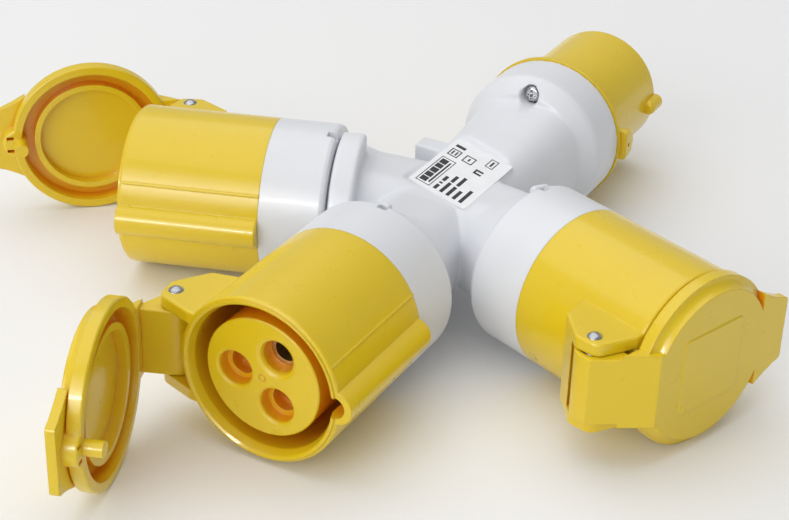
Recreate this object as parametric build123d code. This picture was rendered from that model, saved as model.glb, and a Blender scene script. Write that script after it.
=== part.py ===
from build123d import *
import math
import os

# Three-way splitter adaptor for a 16 A, two-pole-and-earth industrial plug and socket system.
# One plug and three lidded sockets lie in a plane around a moulded hub.  Millimetres, +Z up,
# origin at the centre of the hub's flat underside, plug pointing along +Y.

# ---------------------------------------------------------------- layout
HUB_HALF_HEIGHT = 14.0        # flat top and flat underside of the hub, from the arms' axes
SIDE_SWEEP = 20.0             # side sockets lean towards the front socket, degrees
ARM_ANGLES = {"left": 180 + SIDE_SWEEP, "front": -90.0, "right": -SIDE_SWEEP}
ARM_SHIFT = {"left": 0.0, "front": 9.2, "right": 0.0}      # the front socket stands further out
PLUG_ANGLE = 90.0
LID_OPENING = {"left": 66.0, "front": 70.0, "right": 0.0}

# ---------------------------------------------------------------- contacts (shared interface)
PITCH_R = 9.25                # contact circle
POLES = {"earth": 60.0, "line": 180.0, "neutral": -60.0}   # seen facing a socket, from the key
PIN_R = {"earth": 3.5, "line": 2.5, "neutral": 2.5}
CONTACT_PLAY = 0.05           # radial clearance of a contact sleeve on its pin
SLEEVE_WALL = 1.2
SLEEVE_PLAY = 0.1             # around a sleeve in the insert
SLEEVE_REAR_X = 51.0
SLEEVE_BORE_X = 66.0
SLEEVE_MOUTH_X = {"earth": 98.0, "line": 94.5, "neutral": 94.5}
TERMINAL_X = 55.5
TERMINAL_SCREW_R = 1.5
TERMINAL_SLOT = (0.6, 0.8)    # screwdriver slot width and depth
WIRE_HOLE_R = 1.5
WIRE_HOLE_DEPTH = 8.0

# ---------------------------------------------------------------- socket housing
RIM_X = 106.0
RIM_R = 26.5
WAIST_X = 59.2                # yellow housing meets the white collar
BORE_R = 23.3
LIP_R = 24.5
SPIGOT_REAR_X = 43.0
SPIGOT_R = 23.9
REAR_BORE_R = 20.5
WEB_FRONT_X = 64.0
RIM_STEP = 0.6                # step round the outside of the rim's face
RIM_STEP_R = 25.4
KEY_RIB_Y = 25.3              # round rib over the keyway: centre and radius
KEY_RIB_R = 5.25
KEY_SLOT_Y = 24.8             # round-bottomed keyway: centre and half width
KEY_SLOT_HALF = 3.4
KEY_SLOT_REAR_X = 68.0
SIDE_RIDGE = (26.35, 0.5, 27.5)       # low ridge beside the rib: distance out, radius, degrees round

# ---------------------------------------------------------------- socket insert
INSERT_R = 18.9
INSERT_FACE_X = 103.5
INSERT_FLANGE_R = 23.0
INSERT_FLANGE_X = 66.5
TERMINAL_BLOCK_R = 20.3       # rear half of the insert, behind the housing's web
TERMINAL_BLOCK_X = 52.0
RECESS_R = {"earth": 5.1, "line": 5.5, "neutral": 5.5}     # wider start of each hole
RECESS_DEPTH = {"earth": 5.2, "line": 4.4, "neutral": 4.4}
RECESS_LIP = {"earth": 1.5, "line": 0.9, "neutral": 0.9}
CENTRE_MARK = (0.85, 1.25, 0.25)      # ring groove: inner radius, outer radius, depth

# ---------------------------------------------------------------- collar
COLLAR_REAR_X = 38.0
COLLAR_WALL_X = 41.0
COLLAR_BORE_R = 24.0
COLLAR_HOLE_R = 17.2
COLLAR_ROUND = 1.6
NOTCH = (3.2, 1.5)            # assembly notch in the collar's rear rim: length, half width
SEAL_X = 44.8
SEAL_RING_R = 18.75
SEAL_CORD_R = 1.65

# ---------------------------------------------------------------- lid and its hinge
HINGE_X = 97.4
HINGE_Y = -33.4
EAR_TOP = 15.2
EAR_INNER = 11.3
EAR_BACK_X = 80.5
EAR_ROOT_Y = -19.0
EAR_TIP_ROUND = 3.6
EAR_EDGE_ROUND = 0.8
KNUCKLE_R = 5.5
KNUCKLE_HALF_HEIGHT = 11.0
WALL_CLEARANCE_R = 6.85
HINGE_PIN_R = 1.5
HINGE_BORE_R = 1.56
RIVET_HEAD_R = 2.3
RIVET_HEAD_HEIGHT = 1.1
SPRING_POCKET_R = 3.95
SPRING_POCKET_Z = 4.0
SPRING_COIL_R = 2.95
SPRING_WIRE_R = 0.45
SPRING_GAP = 0.35              # from the pocket floor
SPRING_PITCH = 1.2
SPRING_TURNS = 5
LID_SEAM_X = 106.35
LID_FACE_X = 113.6
LID_SEAM_R = 27.0
LID_R = 27.4
LID_EDGE_R = 3.2
LID_BORE_R = 24.4
LID_GROOVE_X = 111.6
LID_RING_X = 107.6
LID_RING_OUTER_R = 20.0
LID_RING_INNER_R = 17.9
LID_DISC_X = 111.0
TAB_EDGE = [(22.0, 16.0), (27.0, 13.2), (30.5, 11.6), (33.6, 10.7)]    # distance out, half width
TAB_THICKNESS = 2.8
ARM_SIDE_START = (101.2, -38.8)       # hinge arm's flat side, from the knuckle
ARM_EDGE_Y = -22.5                    # to the lid's face
ARM_HALF_HEIGHT = 12.2        # of the arm outside the ears
PEG_R = 2.4
PEG_Y = 24.9
PEG_TIP_X = 100.6
KEY_POCKET = (28.3, 2.4, 2.4, 1.1, 3.0)   # pair beside the peg: out, up, length, width, depth
PANEL_HALF = 12.8
PANEL_RISE = 0.35

# ---------------------------------------------------------------- hub
CAVITY_R = 12.2
NECK_CORE = (31.0, 2 * HUB_HALF_HEIGHT, 8.0)      # width, height, corner radius at the centre
NECK_MIDDLE = (37.0, 34.0, 14.0)
NECK_ROOT_X = 8.0
NECK_MIDDLE_X = 26.0
NECK_END_X = 37.9
NECK_END_R = 23.0
BAYONET_PADS = {"left": (8, 98, 29.0), "front": (84, 93, 34.5), "right": (72, 88, 34.5)}
PAD_R = 25.6
HUB_SPIGOT_R = 17.0
HUB_SPIGOT_X = 48.0
PLUG_NECK_X = 57.0
PLUG_NECK = (42.0, 37.0, 15.0)
SIDE_LUG = ((-24.5, -14.0), (18.5, 25.5), (5.0, 12.0))     # on the plug's neck, in x, y and z
LABEL_LENGTH = 35.0           # along the plug's axis
LABEL_SPAN = 27.0             # along the right arm
LABEL_CENTRE = (0.9, 4.6)
LABEL_THICKNESS = 0.25
LABEL_MARGIN = 1.2            # flat panel around the label

# ---------------------------------------------------------------- plug end
PLUG_COLLAR_R = 26.8
PLUG_COLLAR_X = 60.5
PLUG_COLLAR_END_X = 77.1
PLUG_SHOULDER_X = 56.5
PLUG_SHOULDER_R = 22.8
PLUG_CAVITY_R = 18.8
PLUG_CAVITY_X = 60.5
FLANGE_R = 27.4
FLANGE_END_X = 79.4
SHROUD_R = 22.4
SHROUD_BORE_R = 19.9
SHROUD_TIP_X = 122.3
SHROUD_KEY = (9.5, 2.8, 0.8)  # round key outside the shroud: length, radius, centre out from the wall
CATCH_LENGTH = 6.5            # lid catch beside the flange
CATCH_HALF = 5.4
CATCH_RISE = 2.0
CATCH_HOLE_R = 0.8
CARRIER_REAR_X = 66.0
CARRIER_REAR_R = 18.5
CARRIER_FACE_X = 84.0
CARRIER_FACE_R = 19.5
PIN_TIP_X = {"earth": 117.0, "line": 112.5, "neutral": 112.5}
PIN_SHANK_EXTRA_R = 0.9       # the pin is thicker inside the carrier
PIN_REAR_X = 62.0
PIN_TIP_ROUND = 0.7           # rounding of a pin's tip, as a share of its radius
FIXING_RADIUS = 21.2          # fixing screws, from the plug's axis
FIXING_HEAD_R = 3.0
FIXING_HEAD_HEIGHT = 2.3
FIXING_SEAT_X = 60.5
FIXING_SHAFT_R = 1.45
FIXING_END_X = 78.4
GASKET_R = (23.3, 24.9)
GASKET_WIDTH = 0.9

# ---------------------------------------------------------------- wiring
WIRE_R = 1.9
CONDUCTOR_R = 1.4
WIRE_END_X = 49.5


# ================================================================ helpers
def turned(*points):
    """Solid of revolution about X from (x, radius) points."""
    return revolve(make_face(Polyline(*points, close=True)), Axis.X)


def rod(x0, x1, radius, y=0.0, z=0.0):
    """Round bar along X."""
    return Pos((x0 + x1) / 2, y, z) * Rot(0, 90, 0) * Cylinder(radius, x1 - x0)


def post(x, y, z0, z1, radius):
    """Round bar along Z."""
    return Pos(x, y, (z0 + z1) / 2) * Cylinder(radius, z1 - z0)


def slab(points, z0, z1):
    """Outline in plan, extruded from z0 to z1."""
    return Pos(0, 0, z0) * extrude(make_face(Polyline(*points, close=True)), z1 - z0)


def brick(x0, x1, y0, y1, z0, z1):
    return Pos((x0 + x1) / 2, (y0 + y1) / 2, (z0 + z1) / 2) * Box(x1 - x0, y1 - y0, z1 - z0)


def section(x, width, height, corner):
    """Rounded rectangle across the X axis at x."""
    return Plane(origin=(x, 0, 0), x_dir=(0, 1, 0), z_dir=(1, 0, 0)) * RectangleRounded(width, height, corner)


def around(shape, angle):
    """Turn a shape about the X axis."""
    return Rot(angle, 0, 0) * shape


def pole_place(pole, facing=1):
    """Where a pole lies across the arm; a plug's contacts mirror a socket's."""
    angle = math.radians(POLES[pole])
    return facing * PITCH_R * math.cos(angle), PITCH_R * math.sin(angle)


def on_arm(shape, angle, shift=0.0):
    """From an arm's own frame (X outwards, axis at Z 0) to the part's frame."""
    return Pos(0, 0, HUB_HALF_HEIGHT) * Rot(0, 0, angle) * Pos(shift, 0, 0) * shape


def swung(shape, opening):
    """Open a lid by an angle about its hinge pin."""
    return Pos(HINGE_X, HINGE_Y, 0) * Rot(0, 0, -opening) * Pos(-HINGE_X, -HINGE_Y, 0) * shape


def save(name, shape):
    shape.label = name
    export_step(shape, f"parts/{name}.step")


# ================================================================ one socket
def hinge_outline():
    """Plan of an ear: runs back along the housing and rounds off about the pin."""
    return [(EAR_BACK_X, EAR_ROOT_Y), (EAR_BACK_X + 3.0, -30.6), (HINGE_X - 3.5, HINGE_Y - 4.2),
            (HINGE_X + 4.2, HINGE_Y - 3.2), (RIM_X - RIM_STEP, -24.0), (RIM_X - RIM_STEP, EAR_ROOT_Y)]


def hinge_pocket():
    """Space between the ears for the lid's arm, with a slanted rear wall left behind it."""
    plan = [(EAR_BACK_X + 2.7, EAR_ROOT_Y), (EAR_BACK_X + 5.5, -28.6), (HINGE_X - 2.4, -34.7),
            (HINGE_X - 2.4, -45.0), (RIM_X + 4, -45.0), (RIM_X + 4, EAR_ROOT_Y)]
    sweep_room = post(HINGE_X, HINGE_Y, -EAR_INNER, EAR_INNER, WALL_CLEARANCE_R)
    return slab(plan, -EAR_INNER, EAR_INNER) + sweep_room


def key_rib(x0, x1, grow=0.0):
    """Round rib over the keyway, open towards the arm's axis."""
    rib = rod(x0, x1, KEY_RIB_R + grow, KEY_RIB_Y)
    rib = fillet(rib.edges().sort_by(Axis.X)[0], 0.8)
    return rib - rod(x0 - 1, x1 + 1, BORE_R)


def housing():
    step_x = RIM_X - RIM_STEP
    lip_r = LIP_R + 0.4
    shell = turned((SPIGOT_REAR_X, REAR_BORE_R), (SPIGOT_REAR_X, SPIGOT_R), (WAIST_X, SPIGOT_R),
                   (WAIST_X, RIM_R), (step_x - 0.8, RIM_R), (step_x - 0.2, RIM_R - 0.25), (step_x, RIM_R - 0.7),
                   (step_x, RIM_STEP_R), (RIM_X, RIM_STEP_R), (RIM_X, lip_r), (RIM_X - 0.5, LIP_R - 0.3),
                   (RIM_X - 3.0, BORE_R), (WEB_FRONT_X, BORE_R), (WEB_FRONT_X, REAR_BORE_R))
    mouth = turned((WEB_FRONT_X, 0), (WEB_FRONT_X, BORE_R), (RIM_X - 3.0, BORE_R), (RIM_X - 0.5, LIP_R - 0.3),
                   (RIM_X, lip_r), (RIM_X + 1, lip_r), (RIM_X + 1, 0))
    slot = brick(KEY_SLOT_REAR_X, RIM_X + 1, INSERT_R + 1, KEY_SLOT_Y, -KEY_SLOT_HALF, KEY_SLOT_HALF)
    slot += rod(KEY_SLOT_REAR_X, RIM_X + 1, KEY_SLOT_HALF, KEY_SLOT_Y)
    ears = slab(hinge_outline(), -EAR_TOP, EAR_TOP)
    tip_edges = ears.edges().filter_by(Axis.Z).sort_by(Axis.Y)[:2]
    ears = fillet(tip_edges, EAR_TIP_ROUND)
    ears = fillet(ears.faces().sort_by(Axis.Z)[-1].edges(), EAR_EDGE_ROUND)
    ears = fillet(ears.faces().sort_by(Axis.Z)[0].edges(), EAR_EDGE_ROUND)
    ridge_out, ridge_r, ridge_angle = SIDE_RIDGE
    ridge = around(rod(WAIST_X, step_x - 1, ridge_r, ridge_out), ridge_angle)
    body = shell + key_rib(WAIST_X, step_x) + ridge + (ears - hinge_pocket())
    body -= mouth
    body -= slot
    body -= post(HINGE_X, HINGE_Y, -EAR_TOP - 1, EAR_TOP + 1, HINGE_PIN_R)
    return body


def sleeve_hole(pole, rear, front):
    """Hole that a contact sleeve sits in, and that the pin enters by."""
    y, z = pole_place(pole)
    sleeve_r = PIN_R[pole] + CONTACT_PLAY + SLEEVE_WALL + SLEEVE_PLAY
    return rod(rear - 1, front + 1, sleeve_r, y, z)


def insert():
    """Front half of the insert, with the three stepped holes that the pins enter."""
    body = turned((WEB_FRONT_X, 0), (WEB_FRONT_X, INSERT_FLANGE_R), (INSERT_FLANGE_X, INSERT_FLANGE_R),
                  (INSERT_FLANGE_X, INSERT_R), (INSERT_FACE_X - 0.4, INSERT_R), (INSERT_FACE_X, INSERT_R - 0.4),
                  (INSERT_FACE_X, 0))
    for pole in POLES:
        y, z = pole_place(pole)
        body -= sleeve_hole(pole, WEB_FRONT_X, INSERT_FACE_X)
        body -= rod(INSERT_FACE_X - RECESS_DEPTH[pole], INSERT_FACE_X + 1, RECESS_R[pole], y, z)
        body -= Pos(0, y, z) * flared_mouth(RECESS_R[pole], RECESS_LIP[pole])
    inner, outer, depth = CENTRE_MARK
    body -= turned((INSERT_FACE_X - depth, inner), (INSERT_FACE_X - depth, outer), (INSERT_FACE_X + 1, outer),
                   (INSERT_FACE_X + 1, inner))
    return body


def flared_mouth(radius, lip):
    """Cutter that flares a hole in the insert's face in two steps."""
    front = INSERT_FACE_X + 0.01
    return turned((front - lip, 0), (front - lip, radius), (front - 0.35 * lip, radius + 0.3 * lip),
                  (front, radius + lip), (front, 0))


def terminal_block():
    """Rear half of the insert, round the clamp screws."""
    body = rod(TERMINAL_BLOCK_X, WEB_FRONT_X, TERMINAL_BLOCK_R)
    for pole in POLES:
        body -= sleeve_hole(pole, TERMINAL_BLOCK_X, WEB_FRONT_X)
        body -= around(terminal_hole(), POLES[pole])
    return body


def radial_bar(x, y0, y1, radius):
    """Round bar along Y."""
    return Pos(x, (y0 + y1) / 2, 0) * Rot(90, 0, 0) * Cylinder(radius, y1 - y0)


def terminal_hole():
    """Radial screwdriver hole through the terminal block, on the +Y side."""
    return radial_bar(TERMINAL_X, PITCH_R + 0.4, TERMINAL_BLOCK_R + 1, TERMINAL_SCREW_R + 0.35)


def contact(pole):
    """Turned brass sleeve: pin bore in front, wire hole and clamp screw behind."""
    radius = PIN_R[pole] + CONTACT_PLAY
    body = rod(SLEEVE_REAR_X, SLEEVE_MOUTH_X[pole], radius + SLEEVE_WALL, PITCH_R)
    body -= rod(SLEEVE_BORE_X, SLEEVE_MOUTH_X[pole] + 1, radius, PITCH_R)
    body -= rod(SLEEVE_REAR_X - 1, SLEEVE_REAR_X + WIRE_HOLE_DEPTH, WIRE_HOLE_R, PITCH_R)
    body -= radial_bar(TERMINAL_X, PITCH_R + 0.4, PITCH_R + 8, TERMINAL_SCREW_R)
    return around(body, POLES[pole])


def terminal_screw(pole):
    """Slotted clamp screw, radial, its tip against the wire."""
    tip = PITCH_R + CONDUCTOR_R
    outer = PITCH_R + PIN_R[pole] + 4.0
    width, depth = TERMINAL_SLOT
    screw = radial_bar(TERMINAL_X, tip, outer, TERMINAL_SCREW_R)
    screw -= brick(TERMINAL_X - 2, TERMINAL_X + 2, outer - depth, outer + 1, -width / 2, width / 2)
    return around(screw, POLES[pole])


def socket_screws():
    earth, line, neutral = (terminal_screw(pole) for pole in POLES)
    return earth + line + neutral


def collar():
    rear = COLLAR_REAR_X
    slope = 0.3 * COLLAR_ROUND
    body = turned((rear, COLLAR_HOLE_R), (rear, RIM_R - COLLAR_ROUND), (rear + slope, RIM_R - slope),
                  (rear + COLLAR_ROUND, RIM_R), (WAIST_X, RIM_R), (WAIST_X, COLLAR_BORE_R),
                  (COLLAR_WALL_X, COLLAR_BORE_R), (COLLAR_WALL_X, COLLAR_HOLE_R))
    length, half = NOTCH
    return body - brick(rear - 1, rear + length, 2 - half, 2 + half, NECK_END_R + 1, RIM_R + 1)


def collar_seal():
    return Pos(SEAL_X, 0, 0) * Rot(0, 90, 0) * Torus(SEAL_RING_R, SEAL_CORD_R)


def lid_cup():
    edge_x = LID_FACE_X - LID_EDGE_R
    outline = Polyline((LID_FACE_X, LID_R - LID_EDGE_R), (LID_FACE_X, 0), (LID_SEAM_X, 0),
                       (LID_SEAM_X, LID_SEAM_R), (LID_SEAM_X + 0.4, LID_R), (edge_x, LID_R))
    outline += RadiusArc((edge_x, LID_R), (LID_FACE_X, LID_R - LID_EDGE_R), -LID_EDGE_R)
    return revolve(make_face(outline), Axis.X)


def lid_tab():
    """Finger tab, flush with the lid's face, with hollow sides that run into the rim."""
    plan = [(y, -half) for y, half in TAB_EDGE] + [(y, half) for y, half in reversed(TAB_EDGE)]
    tab = extrude(Plane.YZ * make_face(Polyline(*plan, close=True)), TAB_THICKNESS)
    tab = Pos(LID_FACE_X - TAB_THICKNESS, 0, 0) * tab
    return fillet(tab.edges().filter_by(Axis.X).group_by(Axis.Y)[-1], 1.4)


def lid_arm():
    """Wedge from the knuckle round the hinge pin to the lid's rim, taller outside the ears."""
    side_y = HINGE_Y - KNUCKLE_R
    plan = [(HINGE_X, side_y), ARM_SIDE_START, (LID_FACE_X, ARM_EDGE_Y), (LID_FACE_X, -19.0),
            (LID_SEAM_X + 0.5, -19.0), (LID_SEAM_X + 0.5, -27.6), (HINGE_X, HINGE_Y + KNUCKLE_R)]
    arm = slab(plan, -KNUCKLE_HALF_HEIGHT, KNUCKLE_HALF_HEIGHT)
    arm += post(HINGE_X, HINGE_Y, -KNUCKLE_HALF_HEIGHT, KNUCKLE_HALF_HEIGHT, KNUCKLE_R)
    arm = fillet(arm.faces().sort_by(Axis.Z)[-1].edges(), 0.5)
    arm = fillet(arm.faces().sort_by(Axis.Z)[0].edges(), 0.5)
    head = slab(plan, -ARM_HALF_HEIGHT, ARM_HALF_HEIGHT)
    head &= brick(LID_SEAM_X + 0.5, LID_FACE_X, -40, 0, -ARM_HALF_HEIGHT, ARM_HALF_HEIGHT)
    return arm + head


def arm_trim():
    """Cutter that takes the lid's rim back to the flat side of the hinge arm."""
    start_x, start_y = ARM_SIDE_START
    plan = [ARM_SIDE_START, (LID_FACE_X, ARM_EDGE_Y), (LID_FACE_X + 1, ARM_EDGE_Y + 1),
            (LID_FACE_X + 1, start_y), (start_x, start_y - 1)]
    return slab(plan, -ARM_HALF_HEIGHT, ARM_HALF_HEIGHT)


def lid_panel():
    panel = brick(LID_FACE_X - 1, LID_FACE_X + PANEL_RISE, -PANEL_HALF, PANEL_HALF, -PANEL_HALF, PANEL_HALF)
    panel = fillet(panel.edges().filter_by(Axis.X), 2.0)
    return chamfer(panel.faces().sort_by(Axis.X)[-1].edges(), 0.3)


def lid():
    body = lid_cup() + lid_tab() + key_rib(LID_SEAM_X, LID_FACE_X - TAB_THICKNESS, 0.2) + lid_panel()
    body -= arm_trim()
    body += lid_arm()
    body -= turned((LID_SEAM_X - 1, 0), (LID_SEAM_X - 1, LID_BORE_R), (LID_SEAM_X, LID_BORE_R),
                   (LID_GROOVE_X, LID_BORE_R - 0.5), (LID_GROOVE_X, LID_RING_OUTER_R),
                   (LID_RING_X, LID_RING_OUTER_R), (LID_RING_X, LID_RING_INNER_R),
                   (LID_DISC_X, LID_RING_INNER_R), (LID_DISC_X, 0))
    body += rod(PEG_TIP_X, LID_GROOVE_X + 0.5, PEG_R, PEG_Y)
    pocket_y, pocket_z, length, width, depth = KEY_POCKET
    for side in (1, -1):
        body -= Pos(LID_SEAM_X, pocket_y, side * pocket_z) * Box(2 * depth, length, width)
    body -= post(HINGE_X, HINGE_Y, -EAR_TOP, EAR_TOP, HINGE_BORE_R)
    body -= post(HINGE_X, HINGE_Y, SPRING_POCKET_Z, EAR_TOP, SPRING_POCKET_R)
    return body


def hinge_pin():
    body = post(HINGE_X, HINGE_Y, -EAR_TOP, EAR_TOP, HINGE_PIN_R)
    sphere_r = (RIVET_HEAD_R ** 2 + RIVET_HEAD_HEIGHT ** 2) / (2 * RIVET_HEAD_HEIGHT)
    for side in (1, -1):
        dome = Pos(HINGE_X, HINGE_Y, side * (EAR_TOP + RIVET_HEAD_HEIGHT - sphere_r)) * Sphere(sphere_r)
        cap = Pos(HINGE_X, HINGE_Y, side * (EAR_TOP + RIVET_HEAD_HEIGHT)) * Box(9, 9, 2 * RIVET_HEAD_HEIGHT)
        body += dome & cap
    return body


def hinge_spring():
    """Coil on the hinge pin that presses lid and ear apart."""
    path = Helix(SPRING_PITCH, SPRING_PITCH * SPRING_TURNS, SPRING_COIL_R)
    profile = Plane(origin=path.position_at(0), z_dir=path.tangent_at(0)) * Circle(SPRING_WIRE_R)
    z0 = SPRING_POCKET_Z + SPRING_WIRE_R + SPRING_GAP
    return Pos(HINGE_X, HINGE_Y, z0) * sweep(profile, path=path, is_frenet=True)


# ================================================================ hub
def neck():
    """Socket neck: flat-topped at the hub, flaring to a round end behind the collar."""
    middle = section(NECK_MIDDLE_X, *NECK_MIDDLE)
    end = Plane(origin=(NECK_END_X, 0, 0), x_dir=(0, 1, 0), z_dir=(1, 0, 0)) * Circle(NECK_END_R)
    return loft([section(NECK_ROOT_X, *NECK_CORE), middle]) + loft([middle, end])


def bayonet_pad(first, last, rear):
    """Raised ring segment on a socket neck, between two angles about the arm's axis."""
    ring = turned((rear, NECK_END_R - 4), (rear, PAD_R - 1), (rear + 0.8, PAD_R),
                  (NECK_END_X - 0.8, PAD_R), (NECK_END_X - 0.8, NECK_END_R - 4))
    reach = 40.0
    corners = [(0.0, 0.0)]
    steps = 6
    for i in range(steps + 1):
        angle = math.radians(first + (last - first) * i / steps)
        corners.append((reach * math.cos(angle), reach * math.sin(angle)))
    wedge = extrude(Plane.YZ * make_face(Polyline(*corners, close=True)), NECK_END_X)
    return ring & wedge


def plug_neck():
    body = loft([section(NECK_ROOT_X, *NECK_CORE), section(PLUG_NECK_X, *PLUG_NECK)])
    rear = PLUG_SHOULDER_X
    body += turned((rear - 1, 0), (rear - 1, PLUG_SHOULDER_R - 1), (rear, PLUG_SHOULDER_R),
                   (PLUG_COLLAR_X - 0.8, PLUG_COLLAR_R - 0.7), (PLUG_COLLAR_X + 0.8, PLUG_COLLAR_R),
                   (PLUG_COLLAR_END_X, PLUG_COLLAR_R), (PLUG_COLLAR_END_X, 0))
    return body


def fixing_spot(side):
    return side * FIXING_RADIUS


def label_outline(margin):
    """Corners of the label: long edges along the plug's axis, short edges along the right arm."""
    x, y = LABEL_CENTRE
    slant = math.radians(ARM_ANGLES["right"])
    half_x = (LABEL_SPAN / 2 + margin) * math.cos(slant)
    half_y = (LABEL_SPAN / 2 + margin) * math.sin(slant)
    reach = LABEL_LENGTH / 2 + margin
    return [(x - half_x, y - half_y - reach), (x + half_x, y + half_y - reach),
            (x + half_x, y + half_y + reach), (x - half_x, y - half_y + reach)]


def hub_body():
    top = HUB_HALF_HEIGHT
    body = slab(label_outline(0.0), -top, top)
    for name, angle in ARM_ANGLES.items():
        arm = neck() + rod(NECK_END_X - 5, HUB_SPIGOT_X, HUB_SPIGOT_R) + bayonet_pad(*BAYONET_PADS[name])
        arm = Pos(ARM_SHIFT[name], 0, 0) * arm
        if ARM_SHIFT[name] > 0:
            arm += extrude(section(0, *NECK_CORE), NECK_ROOT_X + ARM_SHIFT[name])
        body += Rot(0, 0, angle) * arm
    body += Rot(0, 0, PLUG_ANGLE) * plug_neck()
    body += Rot(0, 0, PLUG_ANGLE) * extrude(section(-NECK_ROOT_X, *NECK_CORE), 2 * NECK_ROOT_X)
    lug_x, lug_y, lug_z = SIDE_LUG
    body += brick(*lug_x, *lug_y, *lug_z)
    body -= slab(label_outline(LABEL_MARGIN), top, 2 * top)
    cavity = Sphere(CAVITY_R)
    for name, angle in ARM_ANGLES.items():
        cavity += Rot(0, 0, angle) * rod(0, HUB_SPIGOT_X + ARM_SHIFT[name] + 1, CAVITY_R)
    cavity += Rot(0, 0, PLUG_ANGLE) * rod(0, PLUG_CAVITY_X + 1, CAVITY_R)
    body -= cavity
    end = PLUG_COLLAR_END_X
    plug_cuts = rod(PLUG_CAVITY_X, end + 1, PLUG_CAVITY_R)
    plug_cuts += turned((end - GASKET_WIDTH, GASKET_R[0]), (end - GASKET_WIDTH, GASKET_R[1]),
                        (end + 1, GASKET_R[1]), (end + 1, GASKET_R[0]))
    for side in (1, -1):
        plug_cuts += rod(FIXING_SEAT_X - 13, FIXING_SEAT_X, FIXING_HEAD_R + 0.5, 0, fixing_spot(side))
        plug_cuts += rod(FIXING_SEAT_X - 1, end + 1, FIXING_SHAFT_R + 0.15, 0, fixing_spot(side))
    return body - Rot(0, 0, PLUG_ANGLE) * plug_cuts


def hub_label():
    plate = slab(label_outline(0.0), 2 * HUB_HALF_HEIGHT, 2 * HUB_HALF_HEIGHT + LABEL_THICKNESS)
    return fillet(plate.edges().filter_by(Axis.Z), 0.8)


def harness(pole):
    """One pole's wires: a crimped joint at the hub's centre and a wire to each contact."""
    y, z = pole_place(pole)
    body = post(0, 0, z - 2.6, z + 2.6, 3.4)
    ends = []
    for name, angle in ARM_ANGLES.items():
        ends.append((angle, y, WIRE_END_X + ARM_SHIFT[name], SLEEVE_REAR_X + ARM_SHIFT[name] + 6.5))
    ends.append((PLUG_ANGLE, -y, PIN_REAR_X - 1.5, PIN_REAR_X + 6.5))
    for angle, side, wire_x, bare_x in ends:
        turn_x = wire_x - 8
        path = Edge.make_line((0, 0, z), (turn_x, side, z))
        run = sweep(Plane(origin=(0, 0, z), z_dir=(turn_x, side, 0)) * Circle(WIRE_R), path=path)
        run += Pos(turn_x, side, z) * Sphere(WIRE_R)
        run += rod(turn_x, wire_x, WIRE_R, side, z) + rod(wire_x, bare_x, CONDUCTOR_R, side, z)
        body += Rot(0, 0, angle) * run
    return body


# ================================================================ plug
def shroud_key():
    """Round key along the outside of the shroud, at its mouth."""
    length, radius, out = SHROUD_KEY
    key = rod(SHROUD_TIP_X - length, SHROUD_TIP_X + 0.3, radius, -SHROUD_R - out)
    return fillet(key.edges(), 1.5) - rod(0, SHROUD_TIP_X + 1, SHROUD_R - 1)


def lid_catch():
    """Round-nosed catch beside the flange, which a socket's open lid can hook over."""
    front = FLANGE_END_X + CATCH_LENGTH
    catch = brick(FLANGE_END_X - 0.5, front, -FLANGE_R - CATCH_RISE, -SHROUD_R + 1, -CATCH_HALF, CATCH_HALF)
    catch = fillet(catch.edges().filter_by(Axis.Y).group_by(Axis.X)[-1], CATCH_HALF - 0.5)
    catch = fillet(catch.faces().sort_by(Axis.Y)[0].edges().group_by(Axis.X)[1:], 1.2)
    return catch - radial_bar(FLANGE_END_X + 1.8, -FLANGE_R - 3, -FLANGE_R + 1, CATCH_HOLE_R)


def plug_shroud():
    tip = SHROUD_TIP_X
    body = turned((PLUG_COLLAR_END_X, SHROUD_BORE_R), (PLUG_COLLAR_END_X, FLANGE_R),
                  (FLANGE_END_X - 0.8, FLANGE_R), (FLANGE_END_X, FLANGE_R - 0.8), (FLANGE_END_X, SHROUD_R),
                  (tip - 0.8, SHROUD_R), (tip, SHROUD_R - 0.7), (tip, SHROUD_BORE_R))
    body = body + shroud_key() + lid_catch()
    for side in (1, -1):
        body -= rod(PLUG_COLLAR_END_X - 1, FIXING_END_X, FIXING_SHAFT_R, 0, fixing_spot(side))
    return body


def pin_carrier():
    body = rod(CARRIER_REAR_X, PLUG_COLLAR_END_X + 0.3, CARRIER_REAR_R)
    body += rod(PLUG_COLLAR_END_X + 0.3, CARRIER_FACE_X, CARRIER_FACE_R)
    for pole in POLES:
        y, z = pole_place(pole, -1)
        body -= rod(CARRIER_REAR_X - 1, CARRIER_FACE_X + 1, PIN_R[pole] + PIN_SHANK_EXTRA_R, y, z)
    return body


def pin(pole):
    """Contact pin: a thicker shank through the carrier, and the free pin in front of it."""
    y, z = pole_place(pole, -1)
    radius = PIN_R[pole]
    body = rod(PIN_REAR_X, CARRIER_FACE_X, radius + PIN_SHANK_EXTRA_R, y, z)
    bar = rod(CARRIER_FACE_X - 1, PIN_TIP_X[pole], radius, y, z)
    body += fillet(bar.edges().sort_by(Axis.X)[-1], radius * PIN_TIP_ROUND)
    return body - rod(PIN_REAR_X - 1, PIN_REAR_X + WIRE_HOLE_DEPTH, WIRE_HOLE_R, y, z)


def fixing_screw(side):
    z = fixing_spot(side)
    rear = FIXING_SEAT_X - FIXING_HEAD_HEIGHT
    shaft = rod(FIXING_SEAT_X - 0.5, FIXING_END_X, FIXING_SHAFT_R, 0, z)
    head = rod(rear, FIXING_SEAT_X, FIXING_HEAD_R, 0, z)
    head = fillet(head.edges().sort_by(Axis.X)[0], 1.3)
    slots = Box(2.4, 3.4, 0.75) + Box(2.4, 0.75, 3.4)
    return shaft + head - Pos(rear, 0, z) * slots


def fixing_screws():
    return fixing_screw(1) + fixing_screw(-1)


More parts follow.
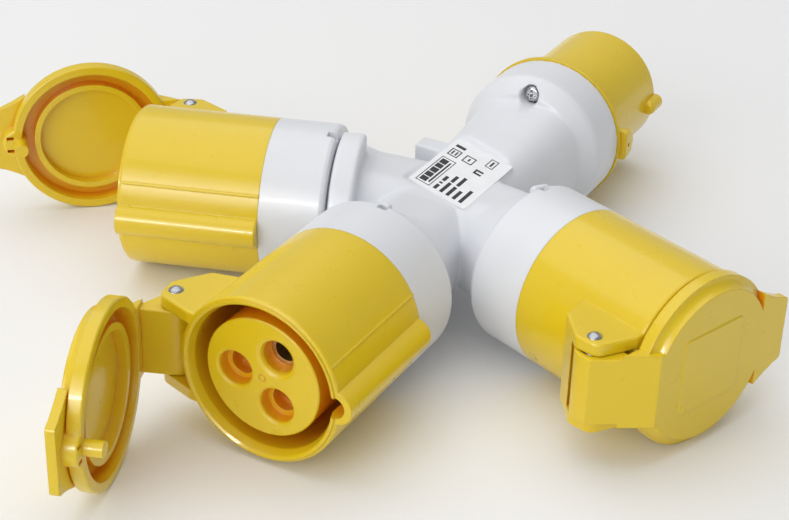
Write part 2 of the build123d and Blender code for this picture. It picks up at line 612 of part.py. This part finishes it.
def plug_gasket():
    front = PLUG_COLLAR_END_X
    return turned((front - GASKET_WIDTH, GASKET_R[0]), (front - GASKET_WIDTH, GASKET_R[1]),
                  (front, GASKET_R[1]), (front, GASKET_R[0]))


# ================================================================ write the sub-parts
os.makedirs("parts", exist_ok=True)

save("hub_body", on_arm(hub_body(), 0.0))
save("hub_label", hub_label())
for pole_name in POLES:
    save(f"{pole_name}_wires", on_arm(harness(pole_name), 0.0))
    save(f"plug_pin_{pole_name}", on_arm(pin(pole_name), PLUG_ANGLE))
save("plug_shroud", on_arm(plug_shroud(), PLUG_ANGLE))
save("plug_pin_carrier", on_arm(pin_carrier(), PLUG_ANGLE))
save("plug_gasket", on_arm(plug_gasket(), PLUG_ANGLE))
save("plug_fixing_screws", on_arm(fixing_screws(), PLUG_ANGLE))

solid_pieces = {"housing": housing(), "insert": insert(), "terminal_block": terminal_block(),
                "collar": collar(), "collar_seal": collar_seal(), "hinge_pin": hinge_pin(),
                "hinge_spring": hinge_spring()}
for pole_name in POLES:
    solid_pieces[f"contact_{pole_name}"] = contact(pole_name)
closed_lid = lid()
for arm_name, arm_angle in ARM_ANGLES.items():
    arm_shift = ARM_SHIFT[arm_name]
    for piece_name, piece in solid_pieces.items():
        save(f"{arm_name}_{piece_name}", on_arm(piece, arm_angle, arm_shift))
    save(f"{arm_name}_terminal_screws", on_arm(socket_screws(), arm_angle, arm_shift))
    save(f"{arm_name}_lid", on_arm(swung(closed_lid, LID_OPENING[arm_name]), arm_angle, arm_shift))
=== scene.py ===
import bpy
import math
from mathutils import Matrix, Vector


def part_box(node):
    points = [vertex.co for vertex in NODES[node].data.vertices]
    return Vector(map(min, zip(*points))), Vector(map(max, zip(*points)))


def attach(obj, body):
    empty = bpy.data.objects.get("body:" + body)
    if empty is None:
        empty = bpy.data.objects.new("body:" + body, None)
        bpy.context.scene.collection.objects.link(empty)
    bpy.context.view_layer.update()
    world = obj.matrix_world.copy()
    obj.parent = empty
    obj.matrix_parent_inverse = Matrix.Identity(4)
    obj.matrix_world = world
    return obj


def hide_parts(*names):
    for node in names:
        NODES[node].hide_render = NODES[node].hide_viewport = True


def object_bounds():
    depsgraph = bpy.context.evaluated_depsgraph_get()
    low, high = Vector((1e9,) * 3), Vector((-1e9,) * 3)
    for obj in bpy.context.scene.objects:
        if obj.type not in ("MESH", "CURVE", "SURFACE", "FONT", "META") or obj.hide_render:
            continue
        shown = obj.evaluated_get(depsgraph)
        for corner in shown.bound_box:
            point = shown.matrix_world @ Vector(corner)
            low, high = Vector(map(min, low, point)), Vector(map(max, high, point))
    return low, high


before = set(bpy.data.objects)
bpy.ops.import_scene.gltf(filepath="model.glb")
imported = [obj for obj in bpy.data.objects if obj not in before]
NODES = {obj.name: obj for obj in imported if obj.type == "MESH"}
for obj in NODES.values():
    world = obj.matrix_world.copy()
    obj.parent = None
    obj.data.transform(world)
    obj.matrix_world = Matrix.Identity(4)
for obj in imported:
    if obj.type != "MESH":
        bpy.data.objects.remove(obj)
cad_low, cad_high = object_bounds()
ROOT = "adaptor"
AXIS_Z = 0.014                       # the plug and socket axes lie this far above the origin

SHADE_FULL, SHADE_NONE = 0.08, 0.62                # painted shade: how open a point is where the shade colour is full, and where there is none of it
HOLLOW_SAMPLES = 8
EDGE_SAMPLES = 6
NOISE_LOW, NOISE_MID, NOISE_HIGH = 0.3, 0.5, 0.7     # a noise texture's values lie mostly between these
BLACK, CLEAR = (0.0,) * 3, (1.0,) * 3


# ---------------------------------------------------------------- materials
def new_material(name):
    mat = bpy.data.materials.new(name)
    mat.use_nodes = True
    tree = mat.node_tree
    tree.nodes.clear()
    out = tree.nodes.new("ShaderNodeOutputMaterial")
    shader = tree.nodes.new("ShaderNodeBsdfPrincipled")
    tree.links.new(shader.outputs["BSDF"], out.inputs["Surface"])
    return mat, tree, shader


def noise(tree, scale, detail=3.0, roughness=0.5):
    coords = tree.nodes.new("ShaderNodeTexCoord")
    tex = tree.nodes.new("ShaderNodeTexNoise")
    tex.inputs["Scale"].default_value = scale
    tex.inputs["Detail"].default_value = detail
    tex.inputs["Roughness"].default_value = roughness
    tree.links.new(coords.outputs["Object"], tex.inputs["Vector"])
    return tex.outputs["Fac"]


def ramp(tree, fac, stops):
    node = tree.nodes.new("ShaderNodeValToRGB")
    band = node.color_ramp
    while len(band.elements) < len(stops):
        band.elements.new(0.5)
    for element, (place, colour) in zip(band.elements, stops):
        element.position = place
        element.color = (*colour, 1.0)
    tree.links.new(fac, node.inputs["Fac"])
    return node.outputs["Color"]


def gloss(tree, fac, low, high):
    """Roughness that wanders from low to high with a noise."""
    return ramp(tree, fac, [(NOISE_LOW, (low,) * 3), (NOISE_HIGH, (high,) * 3)])


def bump(tree, height, strength, distance, normal=None):
    node = tree.nodes.new("ShaderNodeBump")
    node.inputs["Strength"].default_value = strength
    node.inputs["Distance"].default_value = distance
    tree.links.new(height, node.inputs["Height"])
    if normal is not None:
        tree.links.new(normal, node.inputs["Normal"])
    return node.outputs["Normal"]


def soft_edge(tree, radius):
    node = tree.nodes.new("ShaderNodeBevel")
    node.samples = EDGE_SAMPLES
    node.inputs["Radius"].default_value = radius
    return node.outputs["Normal"]


def paint_hollow_shade(tree, colour, hollow_shade, reach, own):
    """Painted shade: colour that turns to another in gaps and hollows, standing in for the light that
    passes between walls of coloured plastic.

    With own, only the piece's own walls count, so the floor under it doesn't."""
    hollow = tree.nodes.new("ShaderNodeAmbientOcclusion")
    hollow.samples = HOLLOW_SAMPLES
    hollow.only_local = own
    hollow.inputs["Distance"].default_value = reach
    # painted shade: the mix goes to the shade colour where little is open around the point
    mix = tree.nodes.new("ShaderNodeMix")
    mix.data_type = "RGBA"
    open_share = ramp(tree, hollow.outputs["AO"], [(SHADE_FULL, BLACK), (SHADE_NONE, CLEAR)])
    tree.links.new(open_share, mix.inputs["Factor"])
    mix.inputs["A"].default_value = (*hollow_shade, 1.0)
    tree.links.new(colour, mix.inputs["B"])
    return mix.outputs["Result"]


def plastic(name, dark, mid, light, rough, spread, edge, sss, radius, coat, grain,
            hollow_shade=None, reach=0.017, own=True):
    """Moulded plastic: faint cloudy colour, a little unevenness in the gloss, soft moulded edges, and
    painted shade in gaps and hollows when a hollow_shade colour is given.
    """
    mat, tree, shader = new_material(name)
    cloud = noise(tree, 28.0, 4.0)
    colour = ramp(tree, cloud, [(NOISE_LOW, dark), (NOISE_MID, mid), (NOISE_HIGH, light)])
    # painted shade: orange-red in gaps and hollows, in place of light passing between plastic walls
    if hollow_shade is not None:
        colour = paint_hollow_shade(tree, colour, hollow_shade, reach, own)
    tree.links.new(colour, shader.inputs["Base Color"])
    streak = noise(tree, 140.0, 3.0)
    uneven = gloss(tree, streak, rough - spread, rough + spread)
    tree.links.new(uneven, shader.inputs["Roughness"])
    wave = noise(tree, 55.0, 2.0)
    normal = bump(tree, wave, grain, 0.0006, soft_edge(tree, edge))
    fine = noise(tree, 2600.0, 2.0)
    normal = bump(tree, fine, 0.02, 0.00004, normal)
    tree.links.new(normal, shader.inputs["Normal"])
    shader.inputs["Subsurface Weight"].default_value = sss
    shader.inputs["Subsurface Radius"].default_value = radius
    shader.inputs["Subsurface Scale"].default_value = 0.002
    shader.inputs["Specular IOR Level"].default_value = 0.5
    shader.inputs["Coat Weight"].default_value = coat
    shader.inputs["Coat Roughness"].default_value = 0.05
    return mat


def metal(name, dark, light, rough, brush_scale):
    mat, tree, shader = new_material(name)
    colour = ramp(tree, noise(tree, brush_scale, 4.0), [(NOISE_LOW, dark), (NOISE_HIGH, light)])
    tree.links.new(colour, shader.inputs["Base Color"])
    shader.inputs["Metallic"].default_value = 1.0
    worn = noise(tree, brush_scale * 3.0, 3.0)
    tree.links.new(gloss(tree, worn, rough - 0.06, rough + 0.08), shader.inputs["Roughness"])
    tree.links.new(bump(tree, worn, 0.08, 0.00005, soft_edge(tree, 0.00015)), shader.inputs["Normal"])
    return mat


def matt(name, dark, light, rough, scale):
    mat, tree, shader = new_material(name)
    fac = noise(tree, scale, 3.0)
    tree.links.new(ramp(tree, fac, [(NOISE_LOW, dark), (NOISE_HIGH, light)]), shader.inputs["Base Color"])
    tree.links.new(gloss(tree, fac, rough - 0.05, rough + 0.05), shader.inputs["Roughness"])
    tree.links.new(bump(tree, fac, 0.05, 0.0001), shader.inputs["Normal"])
    return mat


YELLOWS = (0.765, 0.550, 0.008), (0.775, 0.558, 0.010), (0.785, 0.566, 0.012)
WHITES = (0.73, 0.745, 0.78), (0.75, 0.765, 0.80), (0.77, 0.785, 0.82)
# hollow_shade is painted shade: the orange-red that gaps and hollows take on in place of light bounced in
# the yellow plastic
YELLOW_LOOK = {"spread": 0.03, "sss": 0.12, "radius": (1.0, 0.4, 0.1), "coat": 0.30, "grain": 0.012,
               "hollow_shade": (0.88, 0.26, 0.0)}
WHITE_LOOK = {"spread": 0.04, "sss": 0.10, "radius": (1.0, 1.0, 1.0), "coat": 0.1, "grain": 0.05}
YELLOW = plastic("yellow_moulding", *YELLOWS, rough=0.30, edge=0.0006, **YELLOW_LOOK)
YELLOW_SHELL = plastic("yellow_housing", *YELLOWS, rough=0.30, edge=0.0006, reach=0.05, **YELLOW_LOOK)
YELLOW_FACE = plastic("yellow_insert", *YELLOWS, rough=0.30, edge=0.0005, reach=0.014, own=False,
                      **YELLOW_LOOK)
WHITE = plastic("white_moulding", *WHITES, rough=0.36, edge=0.0008, **WHITE_LOOK)
STEEL = metal("bright_steel", (0.34, 0.34, 0.36), (0.52, 0.53, 0.55), 0.24, 900.0)
PIN_BRASS = metal("pin_brass", (0.60, 0.46, 0.20), (0.74, 0.58, 0.28), 0.24, 500.0)
CONTACT_BRASS = metal("contact_brass", (0.56, 0.41, 0.16), (0.70, 0.53, 0.23), 0.32, 500.0)
RUBBER = matt("seal_rubber", (0.015, 0.015, 0.016), (0.03, 0.03, 0.032), 0.7, 700.0)
VINYL = matt("label_vinyl", (0.86, 0.87, 0.89), (0.90, 0.91, 0.93), 0.42, 300.0)
INK = matt("label_ink", (0.010, 0.010, 0.012), (0.025, 0.025, 0.028), 0.5, 600.0)
WIRES = {"earth_wires": matt("earth_insulation", (0.05, 0.28, 0.05), (0.09, 0.38, 0.08), 0.45, 200.0),
         "line_wires": matt("line_insulation", (0.10, 0.04, 0.015), (0.16, 0.06, 0.025), 0.45, 200.0),
         "neutral_wires": matt("neutral_insulation", (0.02, 0.05, 0.25), (0.03, 0.08, 0.36), 0.45, 200.0)}


def finish_node(name):
    """The material that a CAD node wears."""
    if name in WIRES:
        return WIRES[name]
    if "contact" in name:
        return CONTACT_BRASS
    if name.startswith("plug_pin_") and not name.endswith("carrier"):
        return PIN_BRASS
    if "screw" in name or "hinge" in name:
        return STEEL
    if "seal" in name or "gasket" in name:
        return RUBBER
    if name == "hub_label":
        return VINYL
    if "collar" in name or name == "hub_body":
        return WHITE
    if name.endswith("_insert"):
        return YELLOW_FACE
    if name.endswith("_housing"):
        return YELLOW_SHELL
    return YELLOW


for node_name, node in NODES.items():
    node.data.materials.clear()
    node.data.materials.append(finish_node(node_name))


# ---------------------------------------------------------------- mesh pieces
def add_mesh(name, verts, faces, mat, smooth=True):
    mesh = bpy.data.meshes.new(name)
    mesh.from_pydata(verts, [], faces)
    mesh.update()
    obj = bpy.data.objects.new(name, mesh)
    bpy.context.scene.collection.objects.link(obj)
    obj.data.materials.append(mat)
    for poly in mesh.polygons:
        poly.use_smooth = smooth
    return obj


def moulded_copy(source, name, voxel, rounds, mat):
    """A CAD node's shape with the soft blends of a moulding in place of its sharp corners."""
    work = bpy.data.objects.new(name + "_work", NODES[source].data.copy())
    bpy.context.scene.collection.objects.link(work)
    remesh = work.modifiers.new("voxels", "REMESH")
    remesh.mode = "VOXEL"
    remesh.voxel_size = voxel
    smooth = work.modifiers.new("soften", "SMOOTH")
    smooth.factor = 0.5
    smooth.iterations = rounds
    bpy.context.view_layer.update()
    graph = bpy.context.evaluated_depsgraph_get()
    mesh = bpy.data.meshes.new_from_object(work.evaluated_get(graph))
    bpy.data.objects.remove(work)
    mesh.materials.clear()
    mesh.materials.append(mat)
    obj = bpy.data.objects.new(name, mesh)
    bpy.context.scene.collection.objects.link(obj)
    for poly in mesh.polygons:
        poly.use_smooth = True
    return obj


HUB_VOXEL, HUB_ROUNDS = 0.00055, 9   # how finely the hub is remeshed, and how often it is smoothed
hub = moulded_copy("hub_body", "hub_moulding", HUB_VOXEL, HUB_ROUNDS, WHITE)
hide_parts("hub_body")
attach(hub, ROOT)


INK_SUNK, INK_PROUD = 0.00005, 0.00003   # how far each bar goes into the label and stands out of it
LABEL_SLANT = -20.0                  # the label's short edges run this way, in degrees
FIRST_LINE, LINE_PITCH, LINE_HEIGHT = -3.2, 3.05, 1.5    # lines of print, in millimetres across the label


def label_print():
    """Plain bars and frames where a rating label has its printing; they spell nothing."""
    low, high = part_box("hub_label")
    centre = (low + high) / 2
    top = high.z
    slant = math.radians(LABEL_SLANT)
    across = Vector((math.cos(slant), math.sin(slant), 0.0))
    along = Vector((0.0, 1.0, 0.0))
    verts, faces = [], []

    def bar(v0, v1, u0, u1):
        """Bar from v0 to v1 along the label and u0 to u1 across it, in millimetres from its centre."""
        b = len(verts)
        for z in (top - INK_SUNK, top + INK_PROUD):
            for v, u in ((v0, u0), (v1, u0), (v1, u1), (v0, u1)):
                place = centre + along * (v / 1000) + across * (u / 1000)
                verts.append((place.x, place.y, z))
        faces.extend([(b, b + 1, b + 2, b + 3), (b + 7, b + 6, b + 5, b + 4), (b, b + 4, b + 5, b + 1),
                      (b + 1, b + 5, b + 6, b + 2), (b + 2, b + 6, b + 7, b + 3), (b + 3, b + 7, b + 4, b)])

    def outline(v0, v1, u0, u1, width):
        bar(v0, v1, u0, u0 + width)
        bar(v0, v1, u1 - width, u1)
        bar(v0, v0 + width, u0 + width, u1 - width)
        bar(v1 - width, v1, u0 + width, u1 - width)

    # heading: a frame with a row of blocks and a rule under them
    outline(-15.6, 3.4, -11.6, -4.8, 0.35)
    for start, end in ((-14.4, -11.6), (-11.1, -8.2), (-7.7, -4.6), (-4.1, -1.4), (-0.9, 2.2)):
        bar(start, end, -10.6, -7.4)
    bar(-13.8, 1.6, -6.7, -5.9)
    # five lines, each of one to three bars
    words = (((-15.4, -12.2), (-11.2, -10.2), (-9.2, -5.8)), ((-15.4, -8.4), (-7.6, -3.2)),
             ((-15.4, -9.0), (-8.0, -1.8)), ((-15.4, -9.6),), ((-15.4, -6.6),))
    for row, line in enumerate(words):
        u = FIRST_LINE + LINE_PITCH * row
        for start, end in line:
            bar(start, end, u, u + LINE_HEIGHT)
    # small frames and blocks beside the lines
    outline(5.8, 10.6, -11.4, -6.6, 0.5)
    bar(6.9, 9.5, -10.2, -9.5)
    bar(6.9, 9.5, -8.5, -7.8)
    bar(12.2, 13.8, -11.4, -6.8)
    outline(6.2, 10.8, -4.4, 0.4, 0.5)
    bar(7.6, 9.4, -2.4, -1.6)
    outline(9.8, 15.6, 4.6, 8.2, 0.4)
    bar(11.0, 14.4, 6.0, 6.9)
    bar(3.0, 4.0, 3.4, 7.0)
    bar(5.0, 6.0, 3.4, 7.0)
    bar(4.0, 5.0, 3.4, 4.2)
    return add_mesh("label_print", verts, faces, INK, smooth=False)


printing = label_print()
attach(printing, ROOT)


# ---------------------------------------------------------------- floor, light, camera
FLOOR_GAP = 0.0002                   # keeps the floor from sharing a plane with the parts that stand on it
floor_z = cad_low.z - FLOOR_GAP
FLOOR_HALF = 3
paper = matt("studio_paper", (0.88, 0.88, 0.88), (0.90, 0.90, 0.90), 0.9, 3.0)
corners = [(x * FLOOR_HALF, y * FLOOR_HALF, floor_z) for x, y in ((-1, -1), (1, -1), (1, 1), (-1, 1))]
floor = add_mesh("studio_floor", corners, [(0, 1, 2, 3)], paper, smooth=False)

world = bpy.data.worlds.new("studio")
bpy.context.scene.world = world
world.use_nodes = True
background = world.node_tree.nodes["Background"]
sky = world.node_tree.nodes.new("ShaderNodeTexCoord")
split = world.node_tree.nodes.new("ShaderNodeSeparateXYZ")
world.node_tree.links.new(sky.outputs["Generated"], split.inputs["Vector"])
LEFT_SKY, RIGHT_SKY = (0.48,) * 3, (0.28,) * 3
dim_side = ramp(world.node_tree, split.outputs["X"], [(0.0, LEFT_SKY), (0.9, RIGHT_SKY)])
world.node_tree.links.new(dim_side, background.inputs["Color"])
background.inputs["Strength"].default_value = 1.0


def soft_light(name, place, target, width, height, power):
    """Rectangular lamp at a place, aimed at a target; metres and watts."""
    data = bpy.data.lights.new(name, "AREA")
    data.shape = "RECTANGLE"
    data.size = width
    data.size_y = height
    data.energy = power
    lamp = bpy.data.objects.new(name, data)
    bpy.context.scene.collection.objects.link(lamp)
    lamp.location = place
    lamp.rotation_euler = (Vector(target) - Vector(place)).to_track_quat("-Z", "Y").to_euler()
    return lamp


soft_light("overhead", (-0.35, 0.10, 1.50), (0, 0, 0), 2.2, 2.2, 16.0)
soft_light("front_fill", (-0.10, -1.30, 0.65), (0, 0, 0), 1.6, 0.9, 8.0)
window = soft_light("window", (-0.03, -1.05, 0.465), (-0.06, -0.05, 0.01), 0.9, 0.07, 7.0)
window.visible_diffuse = False       # it shows only in the gloss, as a narrow window's reflection

AZIMUTH, ELEVATION, DISTANCE, ROLL = math.radians(26.86), math.radians(28.83), 0.5937, math.radians(2.77)
WIDTH = 789.0                        # the picture's columns
FOCAL = 1791.07                      # focal length, in columns
SIDEWAYS, UPWARDS = -55.98, -44.74   # the lens's shift, in columns
SENSOR = 36.0
to_camera = Vector((math.sin(AZIMUTH) * math.cos(ELEVATION), -math.cos(AZIMUTH) * math.cos(ELEVATION),
                    math.sin(ELEVATION)))
forward = -to_camera
right = forward.cross(Vector((0, 0, 1))).normalized()
up = right.cross(forward)
right_rolled = right * math.cos(ROLL) + up * math.sin(ROLL)
up_rolled = up * math.cos(ROLL) - right * math.sin(ROLL)
camera_data = bpy.data.cameras.new("camera")
camera = bpy.data.objects.new("camera", camera_data)
bpy.context.scene.collection.objects.link(camera)
rotation = Matrix((right_rolled, up_rolled, to_camera)).transposed().to_4x4()
camera.matrix_world = Matrix.Translation(Vector((0, 0, AXIS_Z)) + to_camera * DISTANCE) @ rotation
camera_data.sensor_width = SENSOR
camera_data.lens = SENSOR * FOCAL / WIDTH
camera_data.shift_x = SIDEWAYS / WIDTH
camera_data.shift_y = UPWARDS / WIDTH
camera_data.clip_start = 0.01
bpy.context.scene.camera = camera
bpy.context.scene.view_settings.view_transform = "Standard"
